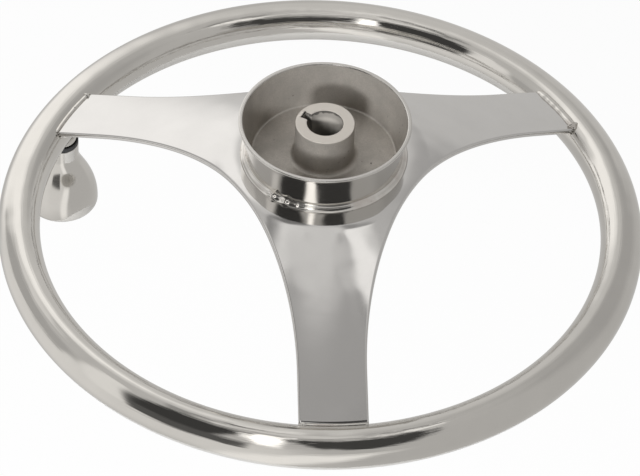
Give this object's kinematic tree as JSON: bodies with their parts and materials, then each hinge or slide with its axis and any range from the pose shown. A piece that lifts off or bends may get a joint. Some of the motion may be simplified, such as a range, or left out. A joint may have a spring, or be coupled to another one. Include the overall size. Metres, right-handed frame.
{
  "type": "boat steering wheel",
  "caption": "Stainless boat steering wheel: tube rim, dished plate with three spokes, cast hub cup with a keyed taper bore, and a bell-shaped knob that spins on ball bearings.",
  "frame": {"origin": "on the shaft axis, at the spoke plate's face on the helm side, where the hub is welded on", "axes": "+Z along the shaft axis towards the helm, the side that the hub cup opens to; +Y between the two spokes opposite the single spoke on -Y; the knob stands on -Z at the spoke towards -X"},
  "size_m": [0.3429, 0.3428, 0.1355],
  "materials": {
    "polished_steel": "polished",
    "satin_steel": "satin",
    "cast_steel": "satin",
    "bearing_steel": "polished",
    "black_rubber": "matte"
  },
  "bodies": {
    "wheel": {"rim_tube": "polished_steel", "spoke_plate": "polished_steel", "spoke_welds": "polished_steel", "hub_casting": "cast_steel", "hub_weld": "polished_steel", "centre_cap": "polished_steel", "centre_cap_o_ring": "black_rubber", "knob_boss": "polished_steel", "knob_spindle": "satin_steel", "spindle_circlip": "satin_steel", "bearing_spacer": "satin_steel", "upper_inner_race": "bearing_steel", "lower_inner_race": "bearing_steel"},
    "knob": {"knob_shell": "polished_steel", "knob_seal": "black_rubber", "knob_end_cap": "polished_steel", "end_cap_o_ring": "black_rubber", "upper_outer_race": "bearing_steel", "lower_outer_race": "bearing_steel", "upper_shields": "bearing_steel", "lower_shields": "bearing_steel"},
    "upper_ball_train": {"upper_balls": "bearing_steel", "upper_ball_cage": "bearing_steel"},
    "lower_ball_train": {"lower_balls": "bearing_steel", "lower_ball_cage": "bearing_steel"}
  },
  "joints": [
    {"name": "knob_spin", "type": "hinge", "parent": "wheel", "child": "knob", "pos_m": [-0.13887, 0.08017, -0.0975], "axis": [0, 0, 1], "continuous": true},
    {"name": "upper_balls_orbit", "type": "hinge", "parent": "wheel", "child": "upper_ball_train", "pos_m": [-0.13887, 0.08017, -0.0975], "axis": [0, 0, 1], "continuous": true},
    {"name": "lower_balls_orbit", "type": "hinge", "parent": "wheel", "child": "lower_ball_train", "pos_m": [-0.13887, 0.08017, -0.0975], "axis": [0, 0, 1], "continuous": true}
  ],
  "couplings": [
    {"joint": "upper_balls_orbit", "follows": "knob_spin", "ratio": 0.632},
    {"joint": "lower_balls_orbit", "follows": "knob_spin", "ratio": 0.632}
  ]
}
